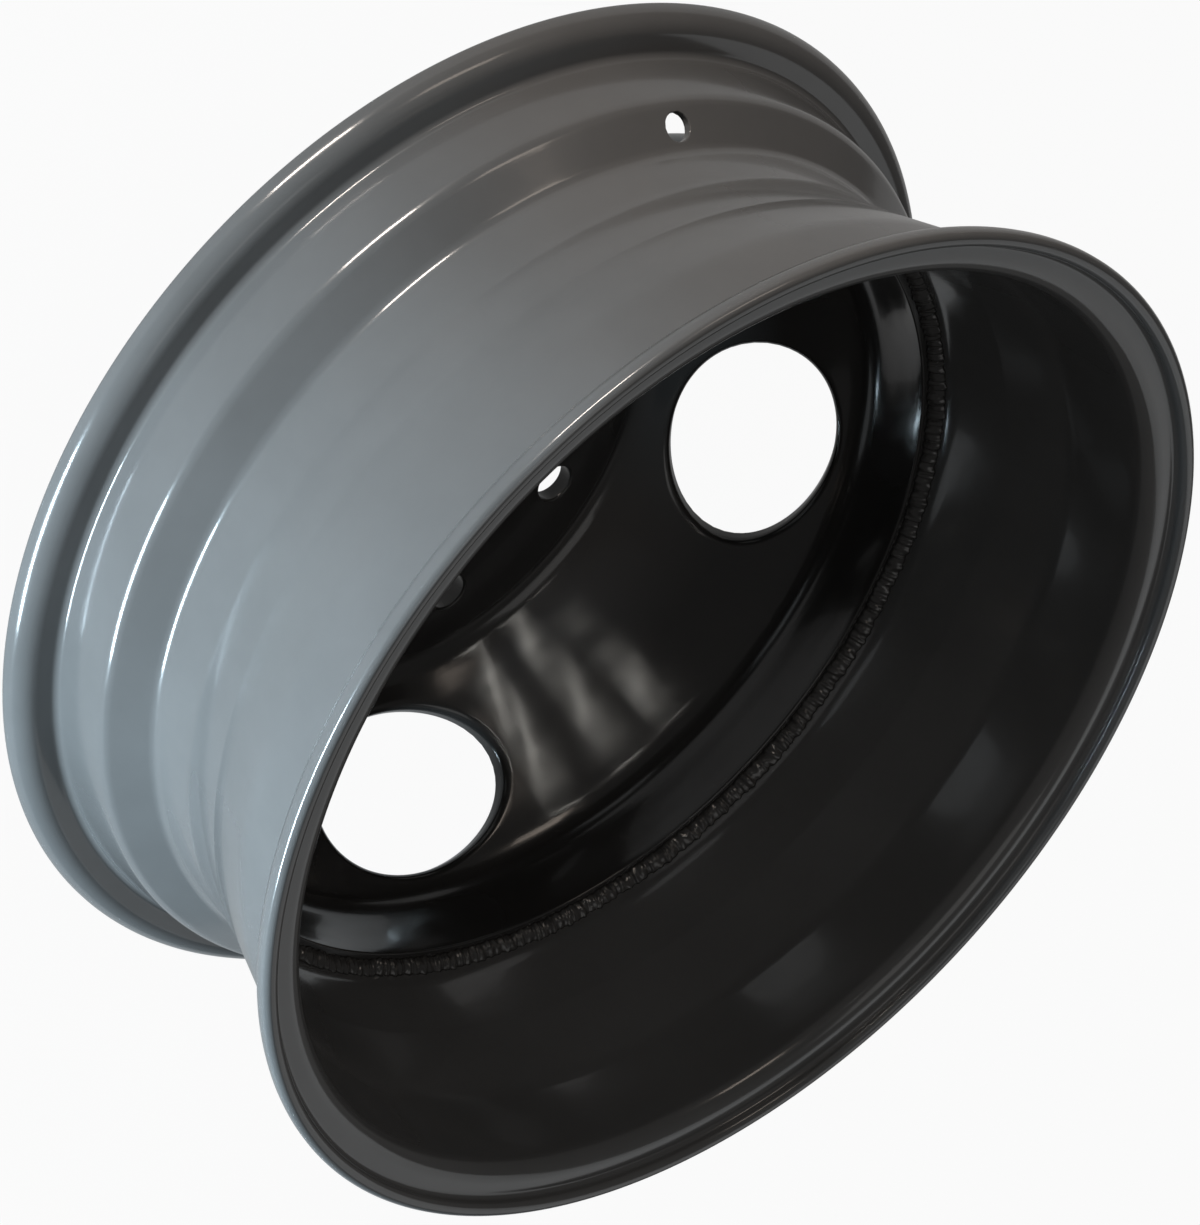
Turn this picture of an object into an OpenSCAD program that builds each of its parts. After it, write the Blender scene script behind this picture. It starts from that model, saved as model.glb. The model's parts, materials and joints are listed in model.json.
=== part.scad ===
// Steel disc wheel for a light truck with twin rear wheels.
// The wheel lies on the outer face of its disc, with the open side of the rim up.
// The origin is the centre of that face and +Z is the wheel's axis.

/* [Rim] */
// Diameter of the bead seats where they meet the flanges
seat_dia = 405.6; // [390:0.1:425]
// Width between the two flange faces
seat_width = 152.4; // [145:0.1:165]
// Height of a flange above its bead seat
flange_h = 17.7; // [17:0.1:20]
// Distance from a flange face to the edge of its lip
lip_reach = 11.4; // [10.8:0.1:14]
// Thickness of the rim between its flanges
rim_t = 3.4; // [2.8:0.1:4.2]
// Thickness of the flanges and their lips
flange_t = 6.4; // [5.6:0.1:7]
// Slope of the bead seats, in degrees
seat_slope = 5; // [3:0.5:6]
// Width of the lower bead seat
lower_seat_w = 27.2; // [24:0.1:31]
// Width of the upper bead seat
upper_seat_w = 35; // [30:0.1:40]
// Depth of the well below the bead seats
well_depth = 17.3; // [15:0.1:19]
// Width that the well's lower wall takes up along the axis
well_wall_w = 13; // [11:0.1:15]
// Width of the well's floor
well_floor_w = 22; // [20:0.1:25]
// Width of the rise at the upper end of the floor
well_rise_w = 25; // [22:0.1:28]
// Height of that rise
well_rise_h = 5.5; // [4:0.1:7]

/* [Rim bends] */
// Radius of the curl from a flange to its lip, on the tyre's side
lip_bend = 8.6; // [7.5:0.1:8.8]
// Radius of the heel between a bead seat and its flange
heel_bend = 3; // [2:0.1:5]
// Radius of the knuckle at the lower edge of the well
knuckle_bend = 8; // [6:0.1:10]
// Radius at the foot of the well's lower wall
foot_bend = 7; // [5:0.1:8]
// Radius at each end of the rise
rise_bend = 30; // [20:1:36]
// Radius between the upper ramp and the upper bead seat
ramp_bend = 40; // [25:1:60]
// Radius that rounds the two edges of a lip
lip_edge = 2.7; // [0.5:0.1:3.1]

/* [Disc] */
// Thickness of the pressed disc
disc_t = 7.6; // [6:0.1:9]
// Height of the rim's middle above the disc's outer face
offset = 132; // [126:0.1:140]
// Diameter of the outer face, up to where the cone would start with no bend
pad_dia = 230; // [222:0.5:238]
// Slope of the disc's cone, in degrees
cone_slope = 47.4; // [45:0.1:50]
// Radius of the bend around the outer face
pad_bend = 22; // [14:0.5:30]
// Radius of the bend between the cone and the skirt
skirt_bend = 28; // [20:0.5:36]
// Length of skirt that lies against the floor of the well
skirt_hold = 13; // [9:0.1:16]
// Clearance between the skirt and the rim
skirt_gap = 0.05; // [0.02:0.01:0.2]

/* [Holes] */
// Diameter of the centre bore
bore_dia = 124; // [112:0.1:130]
// Diameter of the bolt circle
bolt_circle = 165.1; // [158:0.1:172]
// Number of bolt holes
bolt_count = 8; // [4:4:8]
// Diameter of a bolt hole
bolt_hole_dia = 16.5; // [13:0.1:20]
// Number of hand holes
hand_hole_count = 4; // [2:1:5]
// Diameter of the circle through the hand holes' centres
hand_hole_circle = 296.2; // [290:0.1:303]
// Length of a hand hole around the disc
hand_hole_l = 95.2; // [85:0.1:104]
// Width of a hand hole up the cone
hand_hole_w = 68; // [58:0.1:70]
// Diameter of the valve hole
valve_hole_dia = 11.5; // [9:0.1:13]
// Angle from the first hand hole to the valve hole, in degrees
valve_turn = 88.1; // [80:0.1:100]

/* [Weld] */
// Leg of the weld bead between the disc's edge and the rim
weld_leg = 5; // [4:0.1:6]
// Height of the bead's crown above a flat face
weld_crown = 0.9; // [0.3:0.1:1.4]

/* [Hidden] */
$fn = 180;
// Steps in each bend of a profile
BEND_STEPS = 8;
// Steps across the crown of the weld
CROWN_STEPS = 8;
// Largest share of a lip's thickness, and of twice its straight length, that its edge radius takes
LIP_ROUND_SHARE = 0.485;
// Largest share of the skirt's height past the cone that the bend below it takes
SKIRT_BEND_SHARE = 0.95;
// Extra length of a cutter past the faces that it cuts
CUT_PAST = 12;
SHEET_GREY = [0.36, 0.38, 0.40];
DISC_GREY = [0.32, 0.33, 0.35];
WELD_GREY = [0.26, 0.26, 0.27];

// Heights of the rim's stations along the axis, from the lower lip to the upper one
seat_r = seat_dia / 2;
flange_r = seat_r + flange_h;
lower_face_z = offset - seat_width / 2;
upper_face_z = offset + seat_width / 2;
lower_lip_z = lower_face_z - lip_reach;
upper_lip_z = upper_face_z + lip_reach;
knuckle_z = lower_face_z + lower_seat_w;
foot_z = knuckle_z + well_wall_w;
rise_z = foot_z + well_floor_w;
ramp_z = rise_z + well_rise_w;
upper_seat_z = upper_face_z - upper_seat_w;

// Radii of the same stations, on the tyre's side of the sheet
knuckle_r = seat_r - lower_seat_w * tan(seat_slope);
well_r = seat_r - well_depth;
ramp_r = well_r + well_rise_h;
upper_seat_r = seat_r - upper_seat_w * tan(seat_slope);
well_inner_r = well_r - rim_t;

// A lip's edge radius stays within its share of the lip's thickness and of the straight length past the curl
lip_round = min(lip_edge, LIP_ROUND_SHARE * min(flange_t, 2 * (lip_reach - lip_bend)));

// The wall that holds the valve hole: its middle and its slope from the axis
wall_r = (knuckle_r + well_r) / 2;
wall_z = (knuckle_z + foot_z) / 2;
wall_slope = atan2(knuckle_r - well_r, well_wall_w);

// The disc's outer face is at zero, and its skirt fits inside the well
pad_r = pad_dia / 2;
skirt_r = well_inner_r - skirt_gap;
skirt_z = (skirt_r - pad_r) * tan(cone_slope);
disc_edge_z = foot_z + skirt_hold;

// The bend between cone and skirt ends within its share of the skirt's height
skirt_bend_max = SKIRT_BEND_SHARE * (disc_edge_z - skirt_z) / tan((90 - cone_slope) / 2);
skirt_round = min(skirt_bend, skirt_bend_max);

// A hand hole's centre, in the middle of the disc's thickness on the cone
hand_r = hand_hole_circle / 2;
hand_z = (hand_r - pad_r) * tan(cone_slope) + disc_t / 2 / cos(cone_slope);
hand_turn = 360 / hand_hole_count;

// The bolt holes lie half a pitch from the hand holes
bolt_turn = 360 / bolt_count;

function flat(p) = [p[0], p[1]];
function heading(a, b) = (flat(b) - flat(a)) / norm(flat(b) - flat(a));
function left_of(v) = [-v[1], v[0]];

// How far a corner moves when its two runs move to their left by thicknesses of their own
function corner_move(before, after, t_before, t_after) =
    t_before == t_after
        ? t_before * (before + after) / (1 + before * after)
        : let (both = before * after)
            (t_before * (before - both * after) + t_after * (after - both * before)) / (1 - both * both);

// A sheet's profile is a path of corners, each a radius, a height and a bend radius.
// Its other side is the path with each run moved to its left by that run's thickness.
function moved(path, runs_t) = [
    for (i = [0 : len(path) - 1])
        let (
            last = len(path) - 1,
            before = left_of(heading(path[max(i - 1, 0)], path[max(i, 1)])),
            after = left_of(heading(path[min(i, last - 1)], path[min(i + 1, last)])),
            t_before = runs_t[max(i - 1, 0)],
            t_after = runs_t[min(i, last - 1)],
            move = corner_move(before, after, t_before, t_after)
        )
        [
            path[i][0] + move[0],
            path[i][1] + move[1],
            path[i][2] - (t_before + t_after) / 2 * sign(cross(before, after))
        ]
];

// The points of one bend, from one tangent point to the other
function bend(a, p, b) =
    let (
        into = heading(a, p),
        out = heading(p, b),
        turn = atan2(cross(into, out), into * out),
        side = sign(turn),
        start = flat(p) - p[2] * tan(abs(turn) / 2) * into,
        centre = start + side * p[2] * left_of(into),
        from = atan2(into[1], into[0]) - side * 90
    )
    [
        for (k = [0 : BEND_STEPS])
            centre + p[2] * [cos(from + turn * k / BEND_STEPS), sin(from + turn * k / BEND_STEPS)]
    ];

// A closed outline in which each corner has its own radius, and a radius of zero stays sharp
function rounded(corners) = [
    for (i = [0 : len(corners) - 1])
        let (
            n = len(corners),
            before = corners[(i + n - 1) % n],
            after = corners[(i + 1) % n]
        )
        each (corners[i][2] > 0 ? bend(before, corners[i], after) : [flat(corners[i])])
];

function reversed(list) = [for (i = [len(list) - 1 : -1 : 0]) list[i]];

// A path with the radius at its two ends replaced
function ended(path, radius) = [
    for (i = [0 : len(path) - 1])
        i == 0 || i == len(path) - 1 ? [path[i][0], path[i][1], radius] : path[i]
];

// The outline of a bent sheet: the path, then the moved path back
function sheet_outline(path, runs_t, edge) =
    rounded(concat(ended(path, edge), reversed(ended(moved(path, runs_t), edge))));

// The tyre's side of the rim, from the lower lip to the upper one
rim_path = [
    [flange_r, lower_lip_z, 0],
    [flange_r, lower_face_z, lip_bend],
    [seat_r, lower_face_z, heel_bend],
    [knuckle_r, knuckle_z, knuckle_bend],
    [well_r, foot_z, foot_bend],
    [well_r, rise_z, rise_bend],
    [ramp_r, ramp_z, rise_bend],
    [upper_seat_r, upper_seat_z, ramp_bend],
    [seat_r, upper_face_z, heel_bend],
    [flange_r, upper_face_z, lip_bend],
    [flange_r, upper_lip_z, 0]
];

// The thickness of each run of that path: lip and flange, then seat to seat, then flange and lip
rim_runs_t = [
    flange_t, flange_t,
    rim_t, rim_t, rim_t, rim_t, rim_t, rim_t,
    flange_t, flange_t
];

// The outer side of the disc, from the centre bore to the edge of the skirt
disc_path = [
    [bore_dia / 2, 0, 0],
    [pad_r, 0, pad_bend],
    [skirt_r, skirt_z, skirt_round],
    [skirt_r, disc_edge_z, 0]
];
disc_runs_t = [disc_t, disc_t, disc_t];

// The valve hole, square to the well's lower wall
module valve_hole() {
    rotate([0, 0, valve_turn])
        translate([wall_r, 0, wall_z])
            rotate([0, 90 - wall_slope, 0])
                cylinder(d = valve_hole_dia, h = 2 * (rim_t + CUT_PAST), center = true);
}

module rim() {
    color(SHEET_GREY)
        difference() {
            rotate_extrude()
                polygon(sheet_outline(rim_path, rim_runs_t, lip_round));
            valve_hole();
        }
}

// The hand holes are ellipses, punched square to the cone
module hand_holes() {
    for (k = [0 : hand_hole_count - 1])
        rotate([0, 0, k * hand_turn])
            translate([hand_r, 0, hand_z])
                rotate([0, -cone_slope, 0])
                    linear_extrude(height = 2 * (disc_t + CUT_PAST), center = true)
                        scale([hand_hole_w / hand_hole_l, 1])
                            circle(d = hand_hole_l);
}

module bolt_holes() {
    for (k = [0 : bolt_count - 1])
        rotate([0, 0, (k + 0.5) * bolt_turn])
            translate([bolt_circle / 2, 0, disc_t / 2])
                cylinder(d = bolt_hole_dia, h = disc_t + CUT_PAST, center = true);
}

module disc() {
    color(DISC_GREY)
        difference() {
            rotate_extrude()
                polygon(sheet_outline(disc_path, disc_runs_t, 0));
            hand_holes();
            bolt_holes();
        }
}

// The bead's face is a shallow arch from the disc's edge to the rim
module weld_bead() {
    foot = [well_inner_r - weld_leg, disc_edge_z];
    top = [well_inner_r, disc_edge_z + weld_leg];
    out = left_of(heading(foot, top));
    crown = [
        for (k = [0 : CROWN_STEPS])
            let (s = k / CROWN_STEPS)
            foot + s * (top - foot) + 4 * s * (1 - s) * weld_crown * out
    ];
    color(WELD_GREY)
        rotate_extrude()
            polygon(concat([[well_inner_r, disc_edge_z]], reversed(crown)));
}

rim();
disc();
weld_bead();
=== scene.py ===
"""Looks of a steel disc wheel: gloss grey paint on a rolled rim, a pressed disc and the weld between them.

The wheel lies on its disc's outer face, open side up. Lengths are in metres, and the wheel's axis is Z.
Each sheet is a bent profile turned about Z, with patches of its own around the holes that were punched in it.
"""

import json
import math

import bmesh
import bpy
import numpy as np
from mathutils import Matrix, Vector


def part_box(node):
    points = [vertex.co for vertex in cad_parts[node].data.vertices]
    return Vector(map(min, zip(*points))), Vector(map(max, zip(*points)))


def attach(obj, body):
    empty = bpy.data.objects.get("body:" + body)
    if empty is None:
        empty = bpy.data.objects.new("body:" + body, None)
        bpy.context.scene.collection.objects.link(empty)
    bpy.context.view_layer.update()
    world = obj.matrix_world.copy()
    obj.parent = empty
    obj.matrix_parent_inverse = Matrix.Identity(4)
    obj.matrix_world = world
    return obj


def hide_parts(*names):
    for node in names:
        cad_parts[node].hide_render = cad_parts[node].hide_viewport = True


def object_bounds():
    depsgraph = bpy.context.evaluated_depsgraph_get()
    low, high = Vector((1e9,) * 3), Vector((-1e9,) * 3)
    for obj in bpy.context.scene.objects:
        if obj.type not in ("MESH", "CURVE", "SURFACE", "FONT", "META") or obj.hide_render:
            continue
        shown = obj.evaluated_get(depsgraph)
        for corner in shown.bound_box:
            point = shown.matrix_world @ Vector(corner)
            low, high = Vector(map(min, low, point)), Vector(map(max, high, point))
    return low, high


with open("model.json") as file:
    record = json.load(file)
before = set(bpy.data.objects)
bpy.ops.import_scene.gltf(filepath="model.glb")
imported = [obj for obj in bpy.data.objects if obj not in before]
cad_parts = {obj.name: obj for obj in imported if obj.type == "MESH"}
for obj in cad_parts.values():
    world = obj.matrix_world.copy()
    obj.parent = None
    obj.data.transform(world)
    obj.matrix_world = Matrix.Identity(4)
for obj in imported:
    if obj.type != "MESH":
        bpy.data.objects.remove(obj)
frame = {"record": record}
cad_low, cad_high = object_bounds()

MM = 0.001
MOUNTS = {mount["name"]: mount for mount in frame["record"]["mounts"]}


def mount_size(name, key):
    """A size of one of the wheel's mounts, from millimetres to metres."""
    return MOUNTS[name]["dims"][key] * MM


# Sizes that the frame gives
rim_low, rim_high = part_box("rim")
disc_low, disc_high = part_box("disc")
FLANGE_R = rim_high.x
LOWER_LIP_Z = rim_low.z
UPPER_LIP_Z = rim_high.z
DISC_EDGE_Z = disc_high.z
DISC_T = mount_size("centre_bore", "length_mm")
BORE_R = mount_size("centre_bore", "r_mm")
BOLT_R = mount_size("bolt_circle", "hole_r_mm")
BOLT_CIRCLE_R = mount_size("bolt_circle", "pcd_mm") / 2
BOLT_COUNT = MOUNTS["bolt_circle"]["dims"]["count"]
RIM_T = mount_size("valve_hole", "length_mm")
VALVE_R = mount_size("valve_hole", "r_mm")
VALVE_X, VALVE_Y = MOUNTS["valve_hole"]["pos_m"][:2]

# Rim profile: runs along the axis, heights and bend radii on the tyre's side
FLANGE_H = 17.7 * MM
FLANGE_T = 6.4 * MM
LIP_REACH = 11.4 * MM
SEAT_SLOPE = math.radians(5)
LOWER_SEAT_W = 27.2 * MM
UPPER_SEAT_W = 35 * MM
WELL_DEPTH = 17.3 * MM
WELL_WALL_W = 13 * MM
WELL_FLOOR_W = 22 * MM
WELL_RISE_W = 25 * MM
WELL_RISE_H = 5.5 * MM
LIP_BEND = 8.6 * MM
HEEL_BEND = 3 * MM
KNUCKLE_BEND = 8 * MM
FOOT_BEND = 7 * MM
RISE_BEND = 30 * MM
RAMP_BEND = 40 * MM
LIP_EDGE = 2.7 * MM
VALVE_EDGE = 0.5 * MM

# Disc profile and hand holes
PAD_R = 115 * MM
CONE_SLOPE = math.radians(47.4)
PAD_BEND = 22 * MM
SKIRT_BEND = 28 * MM
SKIRT_GAP = 0.05 * MM
SHEAR_EDGE = 0.9 * MM
PRESSED_EDGE = 3.2 * MM
HAND_HOLES = 4
HAND_CIRCLE_R = 148.1 * MM
HAND_HOLE_L = 95.2 * MM
HAND_HOLE_W = 68 * MM

# Weld bead
WELD_LEG = 5 * MM
WELD_CROWN = 0.9 * MM
WELD_RIPPLES = 520

# Steps of the grids: around the axis, through a bend, along a run, around a hole's edge
TURN_STEPS = 288
BEND_STEPS = 10
RUN_STEPS = 4
EDGE_STEPS = 6
SPREAD_STEPS = 8
WALL_STEPS = 3
PAD_STEPS = 5 * RUN_STEPS
CONE_STEPS = 4 * RUN_STEPS
WELD_STEPS = 4608
WELD_ACROSS = 10

# Columns of the main grid to each side of a hole that its patch takes up
VALVE_COLS = 3
HAND_COLS = 21
BOLT_COLS = 7
# Reach of a bolt hole's patch along the profile, in hole radii
BOLT_PATCH = 1.6

# The rim's corners that other values need
SEAT_R = FLANGE_R - FLANGE_H
LOWER_FACE_Z = LOWER_LIP_Z + LIP_REACH
UPPER_FACE_Z = UPPER_LIP_Z - LIP_REACH
KNUCKLE_R = SEAT_R - LOWER_SEAT_W * math.tan(SEAT_SLOPE)
KNUCKLE_Z = LOWER_FACE_Z + LOWER_SEAT_W
WELL_R = SEAT_R - WELL_DEPTH
FOOT_Z = KNUCKLE_Z + WELL_WALL_W
RISE_Z = FOOT_Z + WELL_FLOOR_W
UPPER_SEAT_Z = UPPER_FACE_Z - UPPER_SEAT_W
UPPER_SEAT_R = SEAT_R - UPPER_SEAT_W * math.tan(SEAT_SLOPE)
WELL_INNER_R = WELL_R - RIM_T
SKIRT_R = WELL_INNER_R - SKIRT_GAP
SKIRT_Z = (SKIRT_R - PAD_R) * math.tan(CONE_SLOPE)


# Profiles

def left_of(v):
    """A direction turned a quarter turn to the left."""
    return np.stack([-v[..., 1], v[..., 0]], -1)


def headings(points):
    """Unit directions from each point of a line to the next."""
    step = np.diff(points, axis=0)
    return step / np.linalg.norm(step, axis=1, keepdims=True)


def cross2(a, b):
    """The sine of the turn from one plane direction to another."""
    return a[..., 0] * b[..., 1] - a[..., 1] * b[..., 0]


def moved(path, thickness):
    """A path of corners (radius, height, bend) with each run moved to its left by its own thickness.

    A corner goes to where its two moved runs cross. Its bend grows or shrinks by their mean thickness.
    """
    left = left_of(headings(path[:, :2]))
    before = np.concatenate([left[:1], left])
    after = np.concatenate([left, left[-1:]])
    t_before = np.concatenate([thickness[:1], thickness])[:, None]
    t_after = np.concatenate([thickness, thickness[-1:]])[:, None]
    both = (before * after).sum(1, keepdims=True)
    apart = 1 - both ** 2
    crossing = t_before * (before - both * after) + t_after * (after - both * before)
    move = np.where(apart > 1e-9, crossing / np.maximum(apart, 1e-9), t_before * before)
    bend = path[:, 2:] - (t_before + t_after) / 2 * np.sign(cross2(before, after))[:, None]
    return np.column_stack([path[:, :2] + move, bend])


def bend_points(a, p, b):
    """An arc of the corner's own radius that touches both runs, from one tangent point to the other."""
    into, out = headings(np.array([a[:2], p[:2], b[:2]]))
    turn = math.atan2(cross2(into, out), into @ out)
    start = p[:2] - p[2] * math.tan(abs(turn) / 2) * into
    centre = start + math.copysign(p[2], turn) * left_of(into)
    angle = turn * np.linspace(0, 1, BEND_STEPS + 1)[:, None]
    arm = start - centre
    return centre + np.cos(angle) * arm + np.sin(angle) * left_of(arm)


def bent_line(corners, run_steps):
    """Arcs at the inner corners, joined by runs whose points gather near the arcs, with the two ends kept."""
    arcs = [bend_points(*corners[i - 1:i + 2]) for i in range(1, len(corners) - 1)]
    ends = [corners[:1, :2]] + arcs + [corners[-1:, :2]]
    pieces = []
    for low, high, steps in zip(ends, ends[1:], run_steps):
        share = (0.5 - 0.5 * np.cos(np.pi * np.arange(1, steps) / steps))[:, None]
        pieces += [low, low[-1] + share * (high[0] - low[-1])]
    return np.concatenate(pieces + [ends[-1]])


def sheet_sides(path, thickness, edge, run_steps):
    """Both sides of a bent sheet, with as many points each.

    Both start and end in the middle of the sheet's cut ends, whose corners are rounded by the edge radius.
    """
    sides = []
    other = moved(path, thickness)
    first = (path[0] + other[0]) / 2
    last = (path[-1] + other[-1]) / 2
    for side in (path, other):
        side = side.copy()
        side[[0, -1], 2] = edge
        sides.append(bent_line(np.vstack([first, side, last]), run_steps))
    return sides


def rim_sides():
    """The tyre's side of the rim from the lower lip to the upper one, and the side towards the axis."""
    path = np.array([
        [FLANGE_R, LOWER_LIP_Z, 0],
        [FLANGE_R, LOWER_FACE_Z, LIP_BEND],
        [SEAT_R, LOWER_FACE_Z, HEEL_BEND],
        [KNUCKLE_R, KNUCKLE_Z, KNUCKLE_BEND],
        [WELL_R, FOOT_Z, FOOT_BEND],
        [WELL_R, RISE_Z, RISE_BEND],
        [WELL_R + WELL_RISE_H, RISE_Z + WELL_RISE_W, RISE_BEND],
        [UPPER_SEAT_R, UPPER_SEAT_Z, RAMP_BEND],
        [SEAT_R, UPPER_FACE_Z, HEEL_BEND],
        [FLANGE_R, UPPER_FACE_Z, LIP_BEND],
        [FLANGE_R, UPPER_LIP_Z, 0],
    ])
    thickness = np.full(len(path) - 1, RIM_T)
    thickness[[0, 1, -2, -1]] = FLANGE_T
    steps = [1] + [RUN_STEPS] * (len(path) - 1) + [1]
    return sheet_sides(path, thickness, LIP_EDGE, steps)


def disc_sides():
    """The outer side of the disc from the centre bore to the edge of its skirt, and the hollow side."""
    path = np.array([
        [BORE_R, 0, 0],
        [PAD_R, 0, PAD_BEND],
        [SKIRT_R, SKIRT_Z, SKIRT_BEND],
        [SKIRT_R, DISC_EDGE_Z, 0],
    ])
    thickness = np.full(len(path) - 1, DISC_T)
    return sheet_sides(path, thickness, SHEAR_EDGE, [1, PAD_STEPS, CONE_STEPS, RUN_STEPS, 1])


# Surfaces of revolution with punched holes

def turned(line, turn):
    """Points at (radius, height) turned about the axis by an angle."""
    r, z = line[..., 0], line[..., 1]
    x, y, z = np.broadcast_arrays(r * np.cos(turn), r * np.sin(turn), z)
    return np.stack([x, y, z], -1)


def grid_faces(rows, cols, closed=False):
    """The four corner numbers of every cell of a grid whose points are numbered along its rows.

    A closed grid's last column meets its first.
    """
    number = np.arange(rows * cols).reshape(rows, cols)
    if closed:
        number = np.concatenate([number, number[:, :1]], 1)
    return np.stack([number[:-1, :-1], number[:-1, 1:], number[1:, 1:], number[1:, :-1]], -1)


class Punch:
    """An elliptical hole punched square to a sheet.

    The centre is at a radius, a height and an angle, and the slope is that of the sheet's meridian there.
    The half sizes are up the meridian and around the axis. The edges are the radii on the sheet's two sides.
    The rows are the profile points that the hole's patch takes up, and the columns its steps to each side.
    """

    def __init__(self, r, z, turn, slope, half_sizes, edges, rows, cols):
        self.r, self.z, self.turn, self.slope = r, z, turn, slope
        self.half_up, self.half_around = half_sizes
        self.edges = edges
        self.rows, self.cols = rows, cols
        self.column = round(turn / (2 * math.pi) * TURN_STEPS)
        axis = np.array([-math.sin(slope), math.cos(slope)])
        self.axis = turned(axis, turn)

    def outline(self, way, grow):
        """Where a ray from the centre meets the ellipse whose half sizes are grown by an amount."""
        c, s = np.cos(way), np.sin(way)
        reach = 1 / np.hypot(c / (self.half_up + grow), s / (self.half_around + grow))
        return reach * c, reach * s

    def on_sheet(self, line, up, across):
        """Where along the profile, and at which angle, the sheet is seen at (up, across) along the punch.

        Across gives the angle at each radius, and up is then inverted along the profile.
        """
        r, z = line[self.rows, 0], line[self.rows, 1]
        x = np.sqrt(r ** 2 - across[:, None] ** 2)
        p = (x - self.r) * math.cos(self.slope) + (z - self.z) * math.sin(self.slope)
        i = np.clip((p < up[:, None]).sum(1), 1, len(r) - 1)
        k = np.arange(len(up))
        share = (up - p[k, i - 1]) / (p[k, i] - p[k, i - 1])
        place = self.rows.start + i - 1 + share
        return place, self.turn + np.arcsin(across / self.radius_at(line, place))

    @staticmethod
    def radius_at(line, place):
        """The profile's radius at a place between its points."""
        return np.interp(place, np.arange(len(line)), line[:, 0])

    def rim_of_patch(self):
        """Profile places and angles of the patch's border, once around, as the main grid has them."""
        low, high = self.rows.start, self.rows.stop - 1
        place = np.arange(low, high)
        step = np.arange(-self.cols, self.cols)
        places = np.concatenate([np.full(len(step), low), place, np.full(len(step), high), place[::-1] + 1])
        steps = np.concatenate([step, np.full(len(place), self.cols), -step, np.full(len(place), -self.cols)])
        return places.astype(float), (self.column + steps) * 2 * math.pi / TURN_STEPS

    def ways(self, line):
        """The direction of each border point from the hole's centre, as seen along the punch."""
        places, turns = self.rim_of_patch()
        r = self.radius_at(line, places)
        z = np.interp(places, np.arange(len(line)), line[:, 1])
        away = r * np.cos(turns - self.turn) - self.r
        up = away * math.cos(self.slope) + (z - self.z) * math.sin(self.slope)
        return np.arctan2(r * np.sin(turns - self.turn), up)

    def patch(self, line, ways, edge, inward):
        """Rings from the patch's border to the hole.

        The first ones slide over the sheet to the outline grown by the edge radius. The last ones follow a
        quarter circle of that radius into the hole.
        """
        places, turns = self.rim_of_patch()
        count = np.arange(len(line))

        def at(place, turn):
            spot = np.stack([np.interp(place, count, line[:, i]) for i in (0, 1)], -1)
            return turned(spot, turn)

        place0, turn0 = self.on_sheet(line, *self.outline(ways, edge))
        rings = [at(places + s * (place0 - places), turns + s * (turn0 - turns))
                 for s in 1 - (1 - np.linspace(0, 1, SPREAD_STEPS + 1)) ** 1.6]
        for a in np.linspace(0, math.pi / 2, EDGE_STEPS + 1)[1:]:
            ring = at(*self.on_sheet(line, *self.outline(ways, edge * (1 - math.sin(a)))))
            rings.append(ring + inward * edge * (1 - math.cos(a)) * self.axis)
        return np.stack(rings)


def punched_sheet(sides, punches):
    """Points and faces of a sheet turned about the axis.

    Each side is a grid less the cells around the holes, with a patch on each side of each hole and a wall
    between the two patches.
    """
    turns = np.arange(TURN_STEPS) * 2 * math.pi / TURN_STEPS
    points, faces, total = [], [], 0

    def add(grid, cells):
        nonlocal total
        points.append(grid.reshape(-1, 3))
        faces.append(cells.reshape(-1, 4) + total)
        total += len(points[-1])

    rows = len(sides[0])
    kept = np.ones((rows - 1, TURN_STEPS), bool)
    for hole in punches:
        columns = np.arange(hole.column - hole.cols, hole.column + hole.cols) % TURN_STEPS
        kept[hole.rows.start:hole.rows.stop - 1, columns] = False
    for line in sides:
        add(turned(line[:, None, :], turns[None, :]), grid_faces(rows, TURN_STEPS, True)[kept])
    for hole in punches:
        ways = hole.ways(sides[0])
        patches = [hole.patch(*side) for side in zip(sides, (ways, ways), hole.edges, (1, -1))]
        for rings in patches:
            add(rings, grid_faces(len(rings), len(ways), True))
        share = np.linspace(0, 1, WALL_STEPS + 1)[:, None, None]
        wall = patches[0][-1] + share * (patches[1][-1] - patches[0][-1])
        add(wall, grid_faces(len(wall), len(ways), True))
    return np.concatenate(points), np.concatenate(faces)


def mesh_piece(name, points, faces, material, nodes):
    """A smooth closed mesh at the origin that stands for CAD nodes and rides on the wheel's one body."""
    mesh = bpy.data.meshes.new(name)
    mesh.from_pydata(points.tolist(), [], faces.tolist())
    form = bmesh.new()
    form.from_mesh(mesh)
    bmesh.ops.remove_doubles(form, verts=form.verts, dist=2e-6)
    bmesh.ops.recalc_face_normals(form, faces=form.faces)
    form.to_mesh(mesh)
    form.free()
    mesh.polygons.foreach_set("use_smooth", np.ones(len(mesh.polygons), bool))
    mesh.materials.append(material)
    piece = bpy.data.objects.new(name, mesh)
    bpy.context.scene.collection.objects.link(piece)
    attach(piece, "root")
    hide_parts(*nodes)
    return piece


# Materials

WAVE_DEPTH = 0.9 * MM
LINE_DEPTH = 0.05 * MM


def add_node(tree, kind, links=None, **values):
    """A shader node with its properties set by name, its sockets by number or name in links."""
    made = tree.nodes.new(kind)
    for key, value in values.items():
        setattr(made, key, value)
    for socket, value in (links or {}).items():
        if isinstance(value, bpy.types.NodeSocket):
            tree.links.new(value, made.inputs[socket])
        else:
            made.inputs[socket].default_value = value
    return made


def new_material(name):
    """A node material with its tree and its main shader."""
    material = bpy.data.materials.new(name)
    material.use_nodes = True
    tree = material.node_tree
    return material, tree, tree.nodes["Principled BSDF"]


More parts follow.
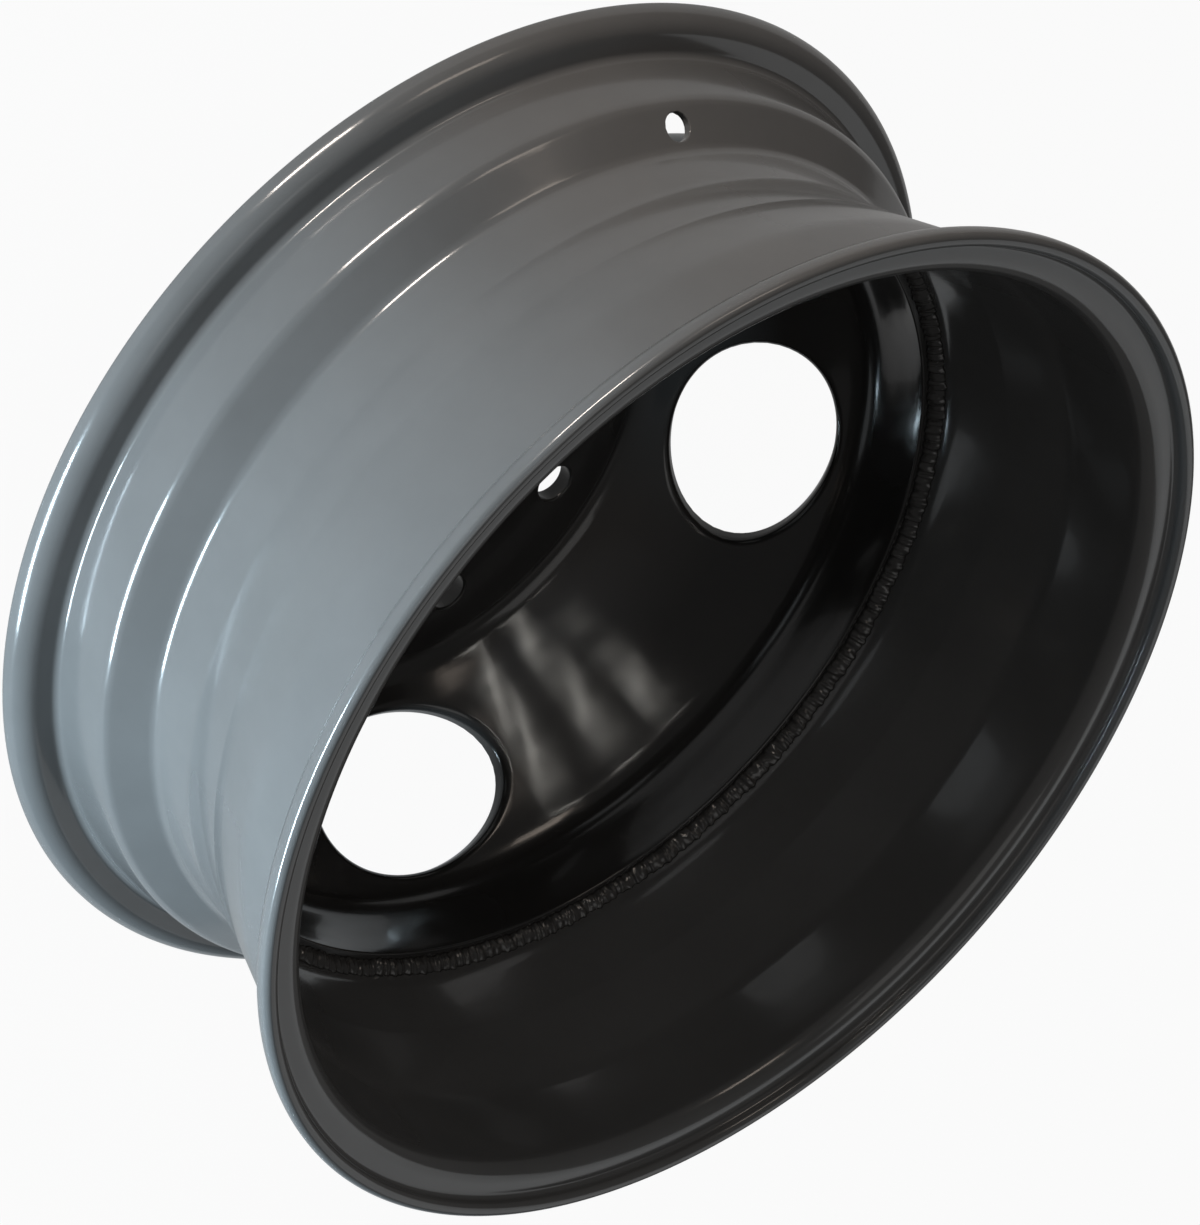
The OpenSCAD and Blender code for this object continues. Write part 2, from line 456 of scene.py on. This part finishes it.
def gloss_paint(name, shade, tint, rings, grain):
    """Gloss grey paint on pressed steel.

    It has an uneven shade, slow waves, rings and fine lines around the axis, and orange peel. The rings and
    the grain of the peel are depths.
    """
    material, tree, shader = new_material(name)
    place = add_node(tree, "ShaderNodeTexCoord").outputs["Object"]
    split = add_node(tree, "ShaderNodeSeparateXYZ", {0: place})
    flat = add_node(tree, "ShaderNodeCombineXYZ", {0: split.outputs[0], 1: split.outputs[1]})
    radius = add_node(tree, "ShaderNodeVectorMath", {0: flat.outputs[0]}, operation="LENGTH")
    meridian = add_node(tree, "ShaderNodeCombineXYZ", {0: radius.outputs["Value"], 1: split.outputs[2]})

    def noise(vector, scale, detail, **sockets):
        links = {"Vector": vector, "Scale": scale, "Detail": detail, **sockets}
        return add_node(tree, "ShaderNodeTexNoise", links)

    cloud = noise(place, 9.0, 5.0, Roughness=0.6)
    colour = add_node(tree, "ShaderNodeValToRGB", {0: cloud.outputs["Fac"]})
    colour.color_ramp.elements[0].position = 0.3
    colour.color_ramp.elements[1].position = 0.72
    colour.color_ramp.elements[0].color = tuple(0.88 * shade * c for c in tint) + (1,)
    colour.color_ramp.elements[1].color = tuple(1.1 * shade * c for c in tint) + (1,)
    tree.links.new(colour.outputs["Color"], shader.inputs["Base Color"])

    haze = noise(place, 38.0, 4.0, Roughness=0.7)
    span = {0: haze.outputs["Fac"], 1: 0.3, 2: 0.75, 3: 0.13, 4: 0.22}
    rough = add_node(tree, "ShaderNodeMapRange", span)
    tree.links.new(rough.outputs[0], shader.inputs["Roughness"])

    waves = noise(place, 16.0, 1.0)
    ripple = noise(meridian.outputs[0], 52.0, 0.0)
    lines = noise(meridian.outputs[0], 260.0, 3.0)
    peel = noise(place, 240.0, 1.0)
    bump = None
    for texture, depth in ((waves, WAVE_DEPTH), (ripple, rings), (lines, LINE_DEPTH), (peel, grain)):
        links = {"Height": texture.outputs["Fac"], "Distance": depth, "Strength": 0.5}
        if bump is not None:
            links["Normal"] = bump.outputs[0]
        bump = add_node(tree, "ShaderNodeBump", links)
    tree.links.new(bump.outputs[0], shader.inputs["Normal"])
    shader.inputs["Coat Weight"].default_value = 0.5
    shader.inputs["Coat Roughness"].default_value = 0.07
    shader.inputs["Specular IOR Level"].default_value = 0.5
    return material


# Pieces

def make_rim(material):
    """The rolled rim, with the valve hole square to the well's lower wall."""
    sides = rim_sides()
    wall_run = 1 + 4 * (BEND_STEPS + RUN_STEPS)
    rows = slice(wall_run - BEND_STEPS // 2, wall_run + RUN_STEPS + BEND_STEPS // 2 + 1)
    slope = math.atan2(WELL_WALL_W, WELL_R - KNUCKLE_R)
    turn = math.atan2(VALVE_Y, VALVE_X)
    middle = (KNUCKLE_R + WELL_R) / 2, (KNUCKLE_Z + FOOT_Z) / 2
    valve = Punch(*middle, turn, slope, (VALVE_R, VALVE_R), (VALVE_EDGE, VALVE_EDGE), rows, VALVE_COLS)
    points, faces = punched_sheet(sides, [valve])
    return mesh_piece("rim_shell", points, faces, material, ["rim"])


def make_disc(material):
    """The pressed disc, with hand holes square to its cone and bolt holes through its flat middle."""
    sides = disc_sides()
    pad_start = 1 + BEND_STEPS
    pad_end = pad_start + PAD_STEPS
    cone_start = pad_end + BEND_STEPS
    cone_end = cone_start + CONE_STEPS
    hand_rows = slice(pad_end + BEND_STEPS // 2, cone_end + BEND_STEPS // 2 + 1)
    hand_z = (HAND_CIRCLE_R - PAD_R) * math.tan(CONE_SLOPE) + DISC_T / 2 / math.cos(CONE_SLOPE)
    hand_half = HAND_HOLE_W / 2, HAND_HOLE_L / 2
    hand_edges = SHEAR_EDGE, PRESSED_EDGE
    punches = [Punch(HAND_CIRCLE_R, hand_z, turn, CONE_SLOPE, hand_half, hand_edges, hand_rows, HAND_COLS)
               for turn in np.arange(HAND_HOLES) * 2 * math.pi / HAND_HOLES]
    pad = sides[0][pad_start:pad_end + 1, 0]
    bolt_low = pad_start + int(np.searchsorted(pad, BOLT_CIRCLE_R - BOLT_PATCH * BOLT_R))
    bolt_high = pad_start + int(np.searchsorted(pad, BOLT_CIRCLE_R + BOLT_PATCH * BOLT_R))
    bolt_rows = slice(bolt_low, bolt_high + 1)
    bolt_half = BOLT_R, BOLT_R
    bolt_edges = SHEAR_EDGE, SHEAR_EDGE
    punches += [Punch(BOLT_CIRCLE_R, DISC_T / 2, turn, 0.0, bolt_half, bolt_edges, bolt_rows, BOLT_COLS)
                for turn in (np.arange(BOLT_COUNT) + 0.5) * 2 * math.pi / BOLT_COUNT]
    points, faces = punched_sheet(sides, punches)
    return mesh_piece("disc_plate", points, faces, material, ["disc"])


def slow_wave(turn, counts, phases):
    """A sum of sines with whole numbers of waves around the wheel, of about unit size."""
    return sum(np.sin(n * turn + p) for n, p in zip(counts, phases)) / len(counts) ** 0.5


def make_weld(material):
    """The weld bead: an arch from the disc's edge to the rim, carried around the axis.

    Its legs wander slowly. Fine ripples of uneven height and spacing cross its crown and trail at its edges.
    """
    turn = np.arange(WELD_STEPS) * 2 * math.pi / WELD_STEPS
    s = np.linspace(0, 1, WELD_ACROSS)[:, None]
    leg_disc = WELD_LEG * (1 + 0.1 * slow_wave(turn, (23, 57, 131, 307), (0.3, 1.9, 4.0, 2.6)))
    leg_rim = WELD_LEG * (1 + 0.12 * slow_wave(turn, (19, 71, 149, 283), (2.2, 0.7, 5.1, 1.4)))
    pitch = WELD_RIPPLES * turn + 2.4 * slow_wave(turn, (31, 83, 137), (0.9, 3.3, 5.2))
    height = 0.14 * (1 + 0.6 * slow_wave(turn, (67, 113, 241), (1.7, 4.4, 0.2)))
    ripple = height * np.sin(pitch + 5 * (s - 0.5) ** 2)
    crown = WELD_CROWN * 4 * s * (1 - s) * (1 + ripple + 0.3 * slow_wave(turn, (41, 97, 211), (1, 2, 3)))
    r = WELL_INNER_R - leg_disc * (1 - s) - crown * math.sqrt(0.5)
    z = DISC_EDGE_Z + leg_rim * s + crown * math.sqrt(0.5)
    arch = turned(np.stack([r, z], -1), turn)
    root = turned(np.array([WELL_INNER_R, DISC_EDGE_Z]), turn)
    loop = np.concatenate([arch, root[None], arch[:1]])
    faces = grid_faces(len(loop), WELD_STEPS, True).reshape(-1, 4)
    return mesh_piece("weld_ring", loop.reshape(-1, 3), faces, material, ["weld_bead"])


# Stage

CAMERA_AZIMUTH = math.radians(139.194)
CAMERA_ELEVATION = math.radians(35.262)
CAMERA_ROLL = math.radians(132.063)
CAMERA_DISTANCE = 1.67172
CAMERA_AIM = (0.01411, -0.01386, 0.11)
CAMERA_LENS = 125.8
SENSOR = 36.0
FLOOR_SIZE = 8.0
FLOOR_SEEN = 0.95
FLOOR_MIRRORED = 0.2
RIM_MIDDLE = (0.0, 0.0, 0.132)
FULL_SPREAD = 180

# Narrow tube lamps that streak the cone: their azimuths and elevations, and the spot that they light
TUBES = ((88, 43.8), (88, 45.4), (110, 46.6), (110, 48.9), (128, 51.2))
TUBE_DISTANCE = 1.9
TUBE_SIZE = (0.3, 0.01)
TUBE_POWER = 0.0008
TUBE_COLOUR = (1.0, 0.97, 0.9)
TUBE_SPREAD = 12
CONE_SPOT = (0.07, -0.12, 0.05)


def direction(azimuth, elevation):
    """A unit direction from the wheel, by its angle around the axis and its angle above the floor."""
    flat = math.cos(elevation)
    return np.array([flat * math.cos(azimuth), flat * math.sin(azimuth), math.sin(elevation)])


def turned_frame(back, roll):
    """Axes of a thing that looks against the direction back, rolled about it from level: right, up, back."""
    level = np.cross([0, 0, 1], back)
    level /= np.linalg.norm(level)
    upright = np.cross(back, level)
    right = math.cos(roll) * level + math.sin(roll) * upright
    return np.column_stack([right, np.cross(back, right), back])


def place_object(obj, axes, spot):
    """Sets an object's axes and place, and links it to the scene."""
    matrix = np.eye(4)
    matrix[:3, :3] = axes
    matrix[:3, 3] = spot
    obj.matrix_world = Matrix(matrix.tolist())
    bpy.context.scene.collection.objects.link(obj)


def add_camera():
    """The photograph's camera: a long lens, rolled, that looks down on the open side."""
    data = bpy.data.cameras.new("photo_camera")
    data.sensor_width = data.sensor_height = SENSOR
    data.sensor_fit = "VERTICAL"
    data.lens = CAMERA_LENS
    camera = bpy.data.objects.new("photo_camera", data)
    back = direction(CAMERA_AZIMUTH, CAMERA_ELEVATION)
    place_object(camera, turned_frame(back, CAMERA_ROLL), np.array(CAMERA_AIM) + CAMERA_DISTANCE * back)
    bpy.context.scene.camera = camera


def add_lamp(name, azimuth, elevation, distance, size, power, colour, aim=RIM_MIDDLE, spread=FULL_SPREAD):
    """A rectangular lamp in a direction from the wheel that faces a point, with a beam width in degrees."""
    data = bpy.data.lights.new(name, "AREA")
    data.shape = "RECTANGLE"
    data.size, data.size_y = size
    data.energy = power
    data.color = colour
    data.spread = math.radians(spread)
    lamp = bpy.data.objects.new(name, data)
    back = direction(math.radians(azimuth), math.radians(elevation))
    place_object(lamp, turned_frame(back, 0), np.array(aim) + distance * back)


def add_floor():
    """A plain floor that is near white to the camera, dimmer in reflections, and takes a soft shadow."""
    corners = [(x * FLOOR_SIZE, y * FLOOR_SIZE, cad_low.z) for x, y in ((-1, -1), (1, -1), (1, 1), (-1, 1))]
    mesh = bpy.data.meshes.new("floor")
    mesh.from_pydata(corners, [], [(0, 1, 2, 3)])
    material, tree, shader = new_material("pale_floor")
    shader.inputs["Base Color"].default_value = (0.62, 0.62, 0.62, 1)
    shader.inputs["Roughness"].default_value = 0.9
    shader.inputs["Specular IOR Level"].default_value = 0.0
    glow = add_node(tree, "ShaderNodeEmission", {"Color": (1, 1, 1, 1), "Strength": 1.0})
    path = add_node(tree, "ShaderNodeLightPath").outputs

    def combined(a, b, operation):
        return add_node(tree, "ShaderNodeMath", {0: a, 1: b}, operation=operation).outputs[0]

    direct = combined(path["Is Camera Ray"], path["Is Transmission Ray"], "MAXIMUM")
    seen = combined(direct, FLOOR_SEEN, "MULTIPLY")
    mirrored = combined(path["Is Glossy Ray"], FLOOR_MIRRORED, "MULTIPLY")
    share = combined(seen, mirrored, "MAXIMUM")
    mix = add_node(tree, "ShaderNodeMixShader", {0: share, 1: shader.outputs[0], 2: glow.outputs[0]})
    tree.links.new(mix.outputs[0], tree.nodes["Material Output"].inputs["Surface"])
    mesh.materials.append(material)
    floor = bpy.data.objects.new("floor", mesh)
    bpy.context.scene.collection.objects.link(floor)


def add_world():
    """A dim even surround, so that the hollow side stays dark."""
    world = bpy.data.worlds.new("surround")
    world.use_nodes = True
    world.node_tree.nodes["Background"].inputs["Color"].default_value = (0.8, 0.79, 0.78, 1)
    world.node_tree.nodes["Background"].inputs["Strength"].default_value = 0.1
    bpy.context.scene.world = world


rim_paint = gloss_paint("rim_paint", 0.14, (1.0, 1.0, 1.0), 0.4 * MM, 0.03 * MM)
# The disc takes the rim's grey paint made about four times darker: painted shade for the dim hollow side,
# where the disc gets little light.
disc_paint = gloss_paint("disc_paint", 0.032, (1.0, 0.95, 0.92), 1.4 * MM, 0.03 * MM)
weld_paint = gloss_paint("weld_paint", 0.06, (1.0, 0.96, 0.93), 0.4 * MM, 0.15 * MM)
make_rim(rim_paint)
make_disc(disc_paint)
make_weld(weld_paint)

add_camera()
add_floor()
add_world()
add_lamp("side_window", 195, 0, 1.7, (1.0, 0.22), 60, (0.7, 0.88, 1.0))
add_lamp("soft_fill", 116, 0, 1.7, (0.5, 0.22), 12, (1.0, 0.9, 0.82))
add_lamp("back_panel", 319, 36, 1.9, (1.2, 0.8), 1.3, (0.95, 0.98, 1.0))
add_lamp("top_panel", 139, 84, 2.0, (1.0, 1.0), 1.4, (1.0, 0.99, 0.97))
add_lamp("warm_top", 80, 34, 1.9, (0.5, 0.3), 1.2, (1.0, 0.86, 0.74))
for number, (azimuth, elevation) in enumerate(TUBES):
    add_lamp("tube_%d" % number, azimuth, elevation, TUBE_DISTANCE, TUBE_SIZE, TUBE_POWER, TUBE_COLOUR,
             CONE_SPOT, TUBE_SPREAD)

bpy.context.scene.view_settings.view_transform = "Standard"
